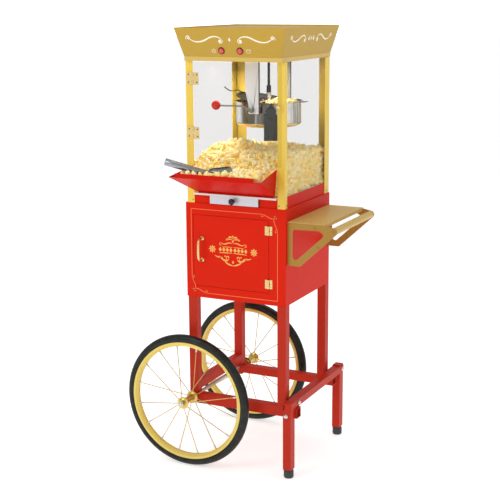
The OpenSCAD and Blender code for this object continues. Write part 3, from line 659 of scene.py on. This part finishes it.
SCROLL_Y = 52
scrolls = Build()
top_faces = marquee_faces()
for side, plane in top_faces.items():
    if side in ("front", "back"):
        scroll(scrolls, plane, -142, -25, SCROLL_Y, 1)
        scroll(scrolls, plane, 142, 25, SCROLL_Y, -1)
        dot(scrolls, plane, -1.5, SCROLL_Y, 3.6, 1.9, 4)
    else:
        scroll(scrolls, plane, -152, -40, SCROLL_Y, 1)
        scroll(scrolls, plane, 152, 40, SCROLL_Y, -1)
        dot(scrolls, plane, 0, SCROLL_Y, 3.0, 2.6, 4)
        for s in (1, -1):
            stroke(scrolls, plane, curl(s * 18, SCROLL_Y, 8, 3, 90, s * 300), 2.6, 0.6)
            dot(scrolls, plane, s * 18, SCROLL_Y, 3.2)
button_icons(scrolls, top_faces["front"])
scrolls.piece("marquee_scrolls", M["ivory"], "cart", slot="cream_paint")


# ---------------------------------------------------------------- popcorn
def kernel_shapes(count=9):
    """Unit popped kernels: a ball pushed out into a few round lobes, with how deep each vertex lies."""
    bm = bmesh.new()
    bmesh.ops.create_icosphere(bm, subdivisions=2, radius=1)
    base = np.array([v.co[:] for v in bm.verts])
    tris = np.array([[v.index for v in f.verts] for f in bm.faces])
    bm.free()
    shapes = []
    for _ in range(count):
        lobes = rng.normal(size=(rng.integers(5, 9), 3))
        lobes /= np.linalg.norm(lobes, axis=1)[:, None]
        sizes = rng.uniform(0.45, 0.75, len(lobes))
        near = base @ lobes.T
        push = (np.exp((near - 1) * 7.0) * sizes).max(axis=1)
        radius = 0.38 + 0.86 * push + rng.normal(0, 0.03, len(base))
        stretch = rng.uniform(0.8, 1.15, 3)
        shapes.append((base * radius[:, None] * stretch, np.clip(push / 0.6, 0, 1)))
    return tris, shapes


KERNEL_TRIS, KERNELS = kernel_shapes()
CREAM = np.array((1.0, 0.96, 0.76))
BUTTER = np.array((1.0, 0.79, 0.22))
TOAST = np.array((0.86, 0.42, 0.05))


def random_turn():
    """Rotation matrix of a random unit quaternion."""
    q = rng.normal(size=4)
    a, b, c, d = q / np.linalg.norm(q)
    return np.array([
        [1 - 2 * (c * c + d * d), 2 * (b * c - a * d), 2 * (b * d + a * c)],
        [2 * (b * c + a * d), 1 - 2 * (b * b + d * d), 2 * (c * d - a * b)],
        [2 * (b * d - a * c), 2 * (c * d + a * b), 1 - 2 * (b * b + c * c)],
    ])


# Room for the popcorn, in cart axes: the glass case behind MOUTH_Y and the chute before it
MOUTH_Y, MOUTH_DEPTH, MOUTH_TAPER = 1, 14, 30
CASE_SIDE, CASE_BACK_Y, CASE_FLOOR = 7.6, 331, 857.6
CHUTE_SIDE, CHUTE_NARROWING, CHUTE_LEAN, CHUTE_FOOT = 37.4, 0.104, 0.0732, 862
CHUTE_LIP_Y, CHUTE_FLOOR, CHUTE_SLOPE = -134, 864.6, 0.446


def keep_in(points):
    """Kernels flatten against the glass, the chute and the floor under them."""
    p = (points - np.array(ORIGIN)) / MM
    y = p[:, 1]
    in_chute = y < MOUTH_Y
    chute_side = CHUTE_SIDE + CHUTE_NARROWING * (y - MOUTH_Y) - CHUTE_LEAN * (p[:, 2] - CHUTE_FOOT)
    case_side = np.clip(CHUTE_SIDE - MOUTH_TAPER * (y - MOUTH_Y) / MOUTH_DEPTH, CASE_SIDE, CHUTE_SIDE)
    side = np.where(in_chute, chute_side, case_side)
    p[:, 0] = np.clip(p[:, 0], side, CAB_W - side)
    p[:, 1] = np.clip(y, CHUTE_LIP_Y, CASE_BACK_Y)
    floor_z = np.where(in_chute, CHUTE_FLOOR + CHUTE_SLOPE * (MOUTH_Y - p[:, 1]), CASE_FLOOR)
    p[:, 2] = np.maximum(p[:, 2], floor_z)
    return p * MM + np.array(ORIGIN)


def popcorn(name, spots, body, sizes=(11, 16)):
    """One mesh of kernels centred on spots, in metres."""
    verts, tris, tints = [], [], []
    base = 0
    # Fold colour, darker and yellower: partly the corn's own colour, partly painted shade in the creases
    deep = BUTTER * 0.78 + TOAST * 0.22
    for spot in spots:
        shape, lobe = KERNELS[rng.integers(len(KERNELS))]
        size = rng.uniform(*sizes) * MM
        verts.append(shape @ random_turn().T * size + np.asarray(spot))
        tris.append(KERNEL_TRIS + base)
        base += len(shape)
        warm = rng.uniform(0, 1) ** 1.6 * 0.9
        pale = CREAM * (1 - warm) + BUTTER * warm
        tints.append(deep + (pale - deep) * (lobe[:, None] ** 0.7))
    verts = np.concatenate(verts)
    if body == "cart":
        verts = keep_in(verts)
    tris = np.concatenate(tris)
    tints = np.concatenate(tints)
    mesh = bpy.data.meshes.new(name)
    mesh.from_pydata(verts.tolist(), [], tris.tolist())
    layer = mesh.color_attributes.new("tint", "FLOAT_COLOR", "POINT")
    layer.data.foreach_set("color", np.hstack([tints, np.ones((len(tints), 1))]).ravel())
    mesh.materials.append(M["corn"])
    mesh.polygons.foreach_set("use_smooth", [True] * len(mesh.polygons))
    obj = new_object(name, mesh)
    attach(obj, body)
    return obj


def scatter(node, spacing, sink_top, sink_side):
    """Spots spread evenly over a node's skin, apart from its underside, and sunk into it."""
    tries = 14  # for each square of the spacing
    mesh = NODES[node].data
    co = np.array([v.co[:] for v in mesh.vertices])
    mesh.calc_loop_triangles()
    tri = co[np.array([t.vertices[:] for t in mesh.loop_triangles])]
    cross = np.cross(tri[:, 1] - tri[:, 0], tri[:, 2] - tri[:, 0])
    area = np.linalg.norm(cross, axis=1) / 2
    normal = cross / (2 * area[:, None] + 1e-12)
    keep = normal[:, 2] > -0.5
    tri, area, normal = tri[keep], area[keep], normal[keep]
    want = int(area.sum() / (spacing * MM) ** 2 * tries)
    pick = rng.choice(len(tri), want, p=area / area.sum())
    uv = rng.uniform(size=(want, 2))
    flip_uv = uv.sum(axis=1) > 1
    uv[flip_uv] = 1 - uv[flip_uv]
    a, b, c = tri[pick, 0], tri[pick, 1], tri[pick, 2]
    spot = a + uv[:, :1] * (b - a) + uv[:, 1:] * (c - a)
    taken, out = {}, []
    for p, n in zip(spot, normal[pick]):
        cell = tuple((p // (spacing * MM)).astype(int))
        near = [q for dx in (-1, 0, 1) for dy in (-1, 0, 1) for dz in (-1, 0, 1)
                for q in taken.get((cell[0] + dx, cell[1] + dy, cell[2] + dz), ())]
        if any(((p - q) ** 2).sum() < (spacing * MM * 0.8) ** 2 for q in near):
            continue
        taken.setdefault(cell, []).append(p)
        out.append(p - n * (rng.uniform(-8, sink_top) if n[2] > 0.35 else sink_side) * MM)
    return out


# The scoop's place in cart axes, its turn from +x and how far its blade is pitched up
SCOOP, SCOOP_TURN, SCOOP_RISE = (118, -80, 938.5), math.radians(29), math.radians(5)


def in_scoop(x, y):
    """Whether x, y lies in the scoop's blade or under its handle."""
    dx, dy = x - SCOOP[0], y - SCOOP[1]
    along = dx * math.cos(SCOOP_TURN) + dy * math.sin(SCOOP_TURN)
    across = -dx * math.sin(SCOOP_TURN) + dy * math.cos(SCOOP_TURN)
    return (-8 < along < 88 and abs(across) < 38) or (along < 0 and abs(across) < 18)


def clear_of(p, others, gap):
    """Whether p lies more than gap mm from every other spot."""
    return all(((p - q) ** 2).sum() > (gap * MM) ** 2 for q in others)


def chute_spots():
    """Spots that fill the chute in two layers, from the heap's foot to its lip."""
    lip_z = extent("chute")[1].z - 8
    front_y, back_y = -128, -44
    layer_depth, gap = 15, 14
    mouth_side, narrowing, floor_z = 50, 0.10, 878
    out = []
    for layer in (0, 1):
        for _ in range(5000):
            y = rng.uniform(front_y, back_y)
            side = mouth_side + narrowing * y
            x = rng.uniform(side, CAB_W - side)
            rise = (y - front_y) / (back_y - front_y)
            z = lip_z - 3 + 10 * rise + rng.uniform(-3, 3) - layer_depth * layer
            if z < floor_z - CHUTE_SLOPE * y or in_scoop(x, y):
                continue
            p = np.array(at(x, y, z))
            if clear_of(p, out, gap):
                out.append(p)
    return out


heap = popcorn("popcorn_pile", scatter("popcorn_heap", 15, 5, 10) + chute_spots(), "cart")
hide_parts("popcorn_heap")


def heap_core():
    """Dark-yellow body under the kernels, so that no gap shows through; it has the kernels' fold colour,
    partly painted shade of the corn deeper in the heap.
    """
    source = NODES["popcorn_heap"].data
    co = np.array([v.co[:] for v in source.vertices])
    mid = (co.min(axis=0) + co.max(axis=0)) / 2
    size = co.max(axis=0) - co.min(axis=0)
    mesh = source.copy()
    mesh.name = "popcorn_core"
    inset, drop, floor_gap = 10.0, 7.0, 0.5
    shrink = 1 - 2 * inset * MM / size
    moved = mid + (co - mid) * shrink
    moved[:, 2] = np.maximum(moved[:, 2] - drop * MM, co[:, 2].min() + floor_gap * MM)
    mesh.vertices.foreach_set("co", moved.ravel())
    layer = mesh.color_attributes.new("tint", "FLOAT_COLOR", "POINT")
    # Painted shade: the body takes the kernels' darker fold colour
    tone = np.tile(np.append(BUTTER * 0.75 + TOAST * 0.25, 1.0), (len(co), 1))
    layer.data.foreach_set("color", tone.ravel())
    obj = new_object("popcorn_core", mesh)
    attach(obj, "cart")


heap_core()

# The drive shaft stands over the middle of the pot
shaft_lo, shaft_hi = extent("drive_shaft")
POT_X = (shaft_lo.x + shaft_hi.x) / 2
POT_Y = (shaft_lo.y + shaft_hi.y) / 2


def kettle_spots():
    """Spots in the half of the pot that the lid leaves open, highest in the middle of that half."""
    lid_edge, fill_r, reach, gap = 14, 88, 86, 10
    fill_z, dome, peak_x, peak_r = 1116, 9, 50, 90
    out = []
    for _ in range(4000):
        r = reach * math.sqrt(rng.uniform())
        a = rng.uniform(-math.pi / 2, math.pi / 2)
        x, y = lid_edge + r * math.cos(a), r * math.sin(a)
        if math.hypot(x, y) > fill_r:
            continue
        z = fill_z + dome * (1 - (math.hypot(x - peak_x, y) / peak_r) ** 2) + rng.uniform(-4, 2)
        p = np.array(at(POT_X + x, POT_Y + y, z))
        if clear_of(p, out, gap):
            out.append(p)
    return out


popcorn("kettle_popcorn", kettle_spots(), "kettle", (8.5, 12.5))


# ---------------------------------------------------------------- wheels
def nipples(side):
    """Spoke nipples inside a wheel's rim, each in line with its spoke."""
    lo, hi = extent("rim_" + side)
    middle = Vector([(a + b) / 2 for a, b in zip(lo, hi)])
    count, inner, flange = 16, 16, 30
    outer = (hi.x - lo.x) / 2 - 12
    b = Build()
    for i in range(count):
        s = 1 if i % 2 == 0 else -1
        a = math.radians((i + 0.5) * 360 / count)
        out = Vector((math.cos(a), 0, -math.sin(a)))
        start = middle + out * inner + Vector((0, s * flange, 0))
        end = middle + out * outer
        run = (end - start).normalized()
        tip = end + run * 1.0
        lathe(b, at(*(tip - run * 16)), run, [(1.5, 0), (2.3, 1), (2.3, 9), (3.2, 11), (3.2, 17)], 12)
    b.piece("nipples_" + side, M["zinc"], side + "_wheel", slot="zinc")


nipples("front")
nipples("back")


# ---------------------------------------------------------------- small fittings
def screw(build, slot_shades, origin, axis, r):
    """Domed screw head with a cross in it, painted black as painted shade of its slots."""
    lathe(build, origin, axis, [(r, 0), (r, 0.3), (r * 0.85, 0.8), (r * 0.45, 1.1), (0.05, 1.15)], 20)
    across = Vector(axis).orthogonal()
    face = Vector(origin) + Vector(axis).normalized() * 1.1 * MM
    plane = Plane(face, across, across.cross(Vector(axis)) * -1)
    # The cross is raised black paint: painted shade standing in for the slots' recess
    for turn in (20, 110):
        a = math.radians(turn)
        end = (r * 0.5 * math.cos(a), r * 0.5 * math.sin(a))
        stroke(slot_shades, plane, [(-end[0], -end[1]), end], r * 0.22)


def hinge_screws():
    """Screws of both doors' hinges and of the popper's base, grouped by body and metal."""
    groups = (
        ("case", "cart", "rod"),
        ("glass_door", "popper_door", "rod"),
        ("storage_door", "storage_door", "zinc"),
        ("cabinet", "cart", "zinc"),
    )
    heads = {name: Build() for name, body, key in groups}
    slot_shades = {name: Build() for name, body, key in groups}
    ahead = (0, -1, 0)

    def fasten(group, x, y, z, axis, r):
        screw(heads[group], slot_shades[group], at(x, y, z), axis, r)

    lo, hi = extent("glass_door_leaves")
    half_leaf = 18
    for z in (lo.z + half_leaf, hi.z - half_leaf):
        for dz in (-11, 11):
            fasten("case", 13.5, -2, z + dz, ahead, 2.6)
            fasten("glass_door", hi.x - 4.5, lo.y, z + dz, ahead, 2.6)
    lo, hi = extent("cabinet_door_leaves")
    half_leaf = 13.5
    for z in (lo.z + half_leaf, hi.z - half_leaf):
        for dz in (-8, 0, 8):
            fasten("storage_door", lo.x + 3.2, -1.5, z + dz, ahead, 1.7)
            fasten("cabinet", hi.x + 5.6, -1.5, z + dz, ahead, 1.7)
    base_z = CAB_Z1 + 9
    for x in (22, CAB_W - 22):
        fasten("case", x, 0, base_z, ahead, 2.4)
    for y in (12, 322):
        fasten("case", CAB_W - 3, y, base_z, (1, 0, 0), 2.4)
        fasten("case", 3, y, base_z, (-1, 0, 0), 2.4)
    for name, body, key in groups:
        heads[name].piece(name + "_hinge_screws", M[key], body, slot="zinc")
        # Black crosses on the screw heads: painted shade of the slots
        slot_shades[name].piece(name + "_screw_slot_shades", M["black"], body, slot="black_plastic")


hinge_screws()


def pull_handle():
    """Arched brass pull on turned rosettes."""
    lo, hi = extent("cabinet_handle")
    x = (lo.x + hi.x) / 2
    top, bottom, out = hi.z - 7, lo.z + 7, lo.y + 4
    span = top - bottom
    path = smooth_path([
        at(x, 0, bottom), at(x, out * 0.55, bottom - 0.5), at(x, out * 0.92, bottom + span * 0.14),
        at(x, out, bottom + span * 0.34), at(x, out, bottom + span * 0.66),
        at(x, out * 0.92, top - span * 0.14), at(x, out * 0.55, top + 0.5), at(x, 0, top),
    ])
    n = len(path) - 1
    radii = [3.2 + 0.9 * math.sin(math.pi * i / n) for i in range(n + 1)]
    b = Build()
    tube(b, path, radii, 18)
    for z in (bottom, top):
        lathe(b, at(x, 0, z), (0, -1, 0), [(7, 0), (7, 0.8), (6, 1.6), (4.8, 2.2), (4.6, 3)], 28)
    obj = b.piece("arched_pull", M["brass"], "storage_door", smooth=True, slot="brass")
    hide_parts("cabinet_handle")


pull_handle()


def tilt_rod():
    """Bent wire from the ball to the trunnion."""
    ball_lo, ball_hi = extent("tilt_ball")
    y = (ball_lo.y + ball_hi.y) / 2
    zb = (ball_lo.z + ball_hi.z) / 2
    xb = (ball_lo.x + ball_hi.x) / 2
    lo, hi = extent("tilt_handle")
    end_x, end_z = hi.x - 8, lo.z + 8
    path = smooth_path([
        at(xb + 11, y, zb), at(xb + 40, y, zb), at(xb + 84, y, zb + 0.5), at(xb + 97, y, zb - 1.5),
        at(xb + 105, y, zb - 8), at(end_x, y, end_z),
    ])
    b = Build()
    tube(b, path, 2.6, 14)
    lathe(b, at(end_x, y + 5, end_z), (0, -1, 0), [(7.2, 0), (8, 0.8), (8, 8), (7.2, 8.8)], 28)
    obj = b.piece("bent_tilt_rod", M["rod"], "kettle", smooth=True, slot="steel")
    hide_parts("tilt_handle")


tilt_rod()


def shaped_scoop():
    """Rounded scoop blade and a tapering tube handle with a collar."""
    level = Matrix.Rotation(SCOOP_TURN, 3, "Z")
    spin = level @ Matrix.Rotation(-SCOOP_RISE, 3, "Y")

    def q(x, y, z):
        return at(*SCOOP) + spin @ Vector((x, y, z)) * MM

    b = Build()
    rows, cols = 18, 20
    length, half_width, depth, brim_z = 84, 31, 35, 4
    skins = []
    for wall in (0, 1.2):
        inside = []
        for i in range(rows + 1):
            t = i / rows
            full = (1 - (1 - min(1, t / 0.34)) ** 2.4) ** (1 / 2.4)
            for j in range(cols + 1):
                a = math.pi * (1 + j / cols)
                deep = abs(math.sin(a))
                x = wall + (length - wall) * t * (1 - 0.22 * (1 - deep) * t)
                y = max(0.0, half_width * full - wall) * math.cos(a)
                z = brim_z - max(0.0, depth * full - wall) * deep
                inside.append(q(x, y, z))
        skins.append(inside)
    n = cols + 1
    offset = len(skins[0])
    faces = []
    for i in range(rows):
        for j in range(cols):
            k = i * n + j
            faces.append((k, k + 1, k + n + 1, k + n))
            faces.append((offset + k, offset + k + n, offset + k + n + 1, offset + k + 1))
    for i in range(rows):
        for k in (i * n, i * n + cols):
            faces.append((k, k + n, offset + k + n, offset + k))
    last = rows * n
    faces += [(last + j, last + j + 1, offset + last + j + 1, offset + last + j) for j in range(cols)]
    b.add(skins[0] + skins[1], faces)
    lift = math.radians(17)
    back = level @ Vector((-math.cos(lift), 0, math.sin(lift)))
    start = q(2, 0, -9)
    handle = [(6, 0), (9.2, 2), (9.2, 9), (8.2, 10), (8.2, 12), (9.4, 16), (10.4, 100), (10.4, 134),
              (9.4, 134.6), (9.2, 134), (9.2, 100), (2, 99)]
    lathe(b, start, back, handle, 32)
    obj = b.piece("shaped_scoop", M["alloy"], "hand_scoop", smooth=True, slot="alloy")
    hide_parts("scoop")


shaped_scoop()


def bent_lid():
    """Half-round kettle lid with a beaded edge and an S-shaped wire."""
    hinge_x, hinge_z = 178.8, 1129.4
    tilt = math.radians(12)
    c, s = math.cos(tilt), math.sin(tilt)

    def q(x, y, z):
        """Lid's own axes to the row frame: x from the hinge, z out of the lid."""
        return at(hinge_x + x * c + z * s, POT_Y + y, hinge_z - x * s + z * c)

    b = Build()
    radius, centre_x, edge_x = 100.4, 11.2, -3.5
    slot_x, slot_y, straight_y = -32, 9.5, 99.2
    top_z, under_z = -1.3, -2.9
    steps, arc_start, arc_turn = 48, 98.3, 163.4
    arc = []
    for i in range(steps + 1):
        a = math.radians(arc_start + i * arc_turn / steps)
        arc.append((centre_x + radius * math.cos(a), radius * math.sin(a)))
    outline = [(edge_x, slot_y), (edge_x, straight_y)] + arc + [
        (edge_x, -straight_y), (edge_x, -slot_y), (slot_x, -slot_y), (slot_x, slot_y)]
    m = len(outline)
    verts = [q(x, y, z) for z in (top_z, under_z) for x, y in outline]
    faces = [tuple(range(m)), tuple(range(2 * m - 1, m - 1, -1))]
    faces += [(i, i + m, (i + 1) % m + m, (i + 1) % m) for i in range(m)]
    b.add(verts, faces)
    tube(b, [q(x, y, -1.6) for x, y in arc], 1.7, 10)
    for y in (-12, 12):
        tube(b, [q(0, y - 6, 0), q(0, y + 6, 0)], 2.7, 16)
        tube(b, [q(-1, y, -0.6), q(-14, y, -0.9)], 1.9, 10)
    # The wire starts past the slot, clear of the drive shaft when the kettle tilts
    wire = [(-44, 0.4), (-62, 1.2), (-86, 2.2), (-98, 5), (-108, 0.5), (-122, -3.5), (-138, 0.5), (-145, 4)]
    tube(b, smooth_path([q(x, 0, z) for x, z in wire]), 1.7, 12)
    obj = b.piece("bent_lid", M["dark_steel"], "kettle_cover", slot="steel")
    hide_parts("kettle_lid")


bent_lid()


def pot_skirt():
    """Brass-coloured skirt round the pot's rounded bottom edge."""
    b = Build()
    pot_z = extent("kettle_pot")[0].z
    radius, corner, corner_out, thick = 100.35, 12, 12.25, 0.2
    profile = []
    for i in range(9):
        a = math.radians(-82 + i * 9.5)
        r = radius - corner + corner_out * math.cos(a)
        profile.append((r, pot_z + corner + corner_out * math.sin(a)))
    outline = profile + [(r - thick, z) for r, z in reversed(profile)]
    sides = 96
    n = len(outline)
    verts = []
    for i in range(sides):
        a = 2 * math.pi * i / sides
        verts += [at(POT_X + r * math.cos(a), POT_Y + r * math.sin(a), z) for r, z in outline]
    faces = []
    for i in range(sides):
        here, there = i * n, (i + 1) % sides * n
        faces += [(here + j, there + j, there + (j + 1) % n, here + (j + 1) % n) for j in range(n)]
    b.add(verts, faces)
    b.piece("pot_skirt", M["brass"], "kettle", smooth=True, slot="brass")


pot_skirt()


# ---------------------------------------------------------------- studio
def stage_mesh(name, verts, faces, shader):
    """A mesh of the studio, which is no piece of the cart."""
    mesh = bpy.data.meshes.new(name)
    mesh.from_pydata(verts, [], faces)
    mesh.materials.append(shader.mat)
    obj = new_object(name, mesh)
    return obj


def glowing(name, rough, shine, glow, drift, color=(1, 1, 1)):
    """White studio surface that gives some light of its own, so that it stays pale."""
    s = Shader(name, (0.94, 0.94, 0.94), rough, Specular_IOR_Level=shine)
    s.vary(drift, 0.01)
    s.bsdf.inputs["Emission Color"].default_value = (*color, 1)
    s.bsdf.inputs["Emission Strength"].default_value = glow
    return s


def floor():
    """Pale floor out to the horizon; sizes in metres."""
    r = 2500
    corners = [(-r, -r, 0), (r, -r, 0), (r, r, 0), (-r, r, 0)]
    stage_mesh("studio_floor", corners, [(0, 1, 2, 3)],
               glowing("studio_floor", 0.8, 0.1, 0.50, 0.6, (1, 0.995, 0.99)))


def backdrop():
    """Round white studio wall far behind everything; only the camera sees it. Sizes in metres."""
    sides, r, foot, high = 48, 40, -0.5, 60
    turns = [2 * math.pi * i / sides for i in range(sides)]
    verts = [(r * math.cos(a), r * math.sin(a), z) for z in (foot, high) for a in turns]
    faces = [(i, i + sides, (i + 1) % sides + sides, (i + 1) % sides) for i in range(sides)]
    obj = stage_mesh("studio_wall", verts, faces, glowing("studio_wall", 0.9, 0.0, 0.98, 0.01))
    obj.visible_diffuse = obj.visible_glossy = obj.visible_shadow = obj.visible_transmission = False


floor()
backdrop()

world = bpy.data.worlds.new("studio")
bpy.context.scene.world = world
world.use_nodes = True
world.node_tree.nodes["Background"].inputs["Color"].default_value = (1, 1, 1, 1)
world.node_tree.nodes["Background"].inputs["Strength"].default_value = 0.55


def area_light(name, place, target, size, power):
    """Rectangular lamp at a place, aimed at a target; metres and watts."""
    data = bpy.data.lights.new(name, "AREA")
    data.shape = "RECTANGLE"
    data.size, data.size_y = size
    data.energy = power
    obj = new_object(name, data)
    obj.location = place
    obj.rotation_euler = (Vector(target) - Vector(place)).to_track_quat("-Z", "Y").to_euler()
    return obj


area_light("key", (-1.0, -2.4, 2.5), (0, 0, 1.05), (1.4, 1.4), 22)
area_light("fill", (3.0, -1.2, 1.8), (0, 0, 0.9), (1.4, 2.0), 5)
area_light("top", (0.2, 0.4, 3.2), (0, 0, 0.9), (1.6, 1.6), 16)
case_lamp = area_light("case_lamp", at(95, 175, 1238), at(140, 130, 900), (0.14, 0.14), 1.7)
case_lamp.data.color = (1.0, 0.93, 0.78)
case_lamp.visible_glossy = False
bpy.context.scene.view_settings.view_transform = "Standard"

# Camera of the photo: radians, and its place in cart axes, from a fit of the cart's straight edges
YAW, PITCH, ROLL = 0.4525, -0.216, -0.006
CAMERA_AT = (1692.9, -3044.8, 1439)
camera_data = bpy.data.cameras.new("camera")
camera_data.lens = 83.4
camera_data.sensor_width = 36
camera_data.clip_end = 10000
camera = new_object("camera", camera_data)
forward = Vector((-math.sin(YAW) * math.cos(PITCH), math.cos(YAW) * math.cos(PITCH), math.sin(PITCH)))
right = Vector((math.cos(YAW), math.sin(YAW), 0))
up = right.cross(forward)
right, up = (right * math.cos(ROLL) + up * math.sin(ROLL), up * math.cos(ROLL) - right * math.sin(ROLL))
turn = Matrix((right, up, -forward)).transposed()
camera.matrix_world = Matrix.Translation(at(*CAMERA_AT)) @ turn.to_4x4()
bpy.context.scene.camera = camera
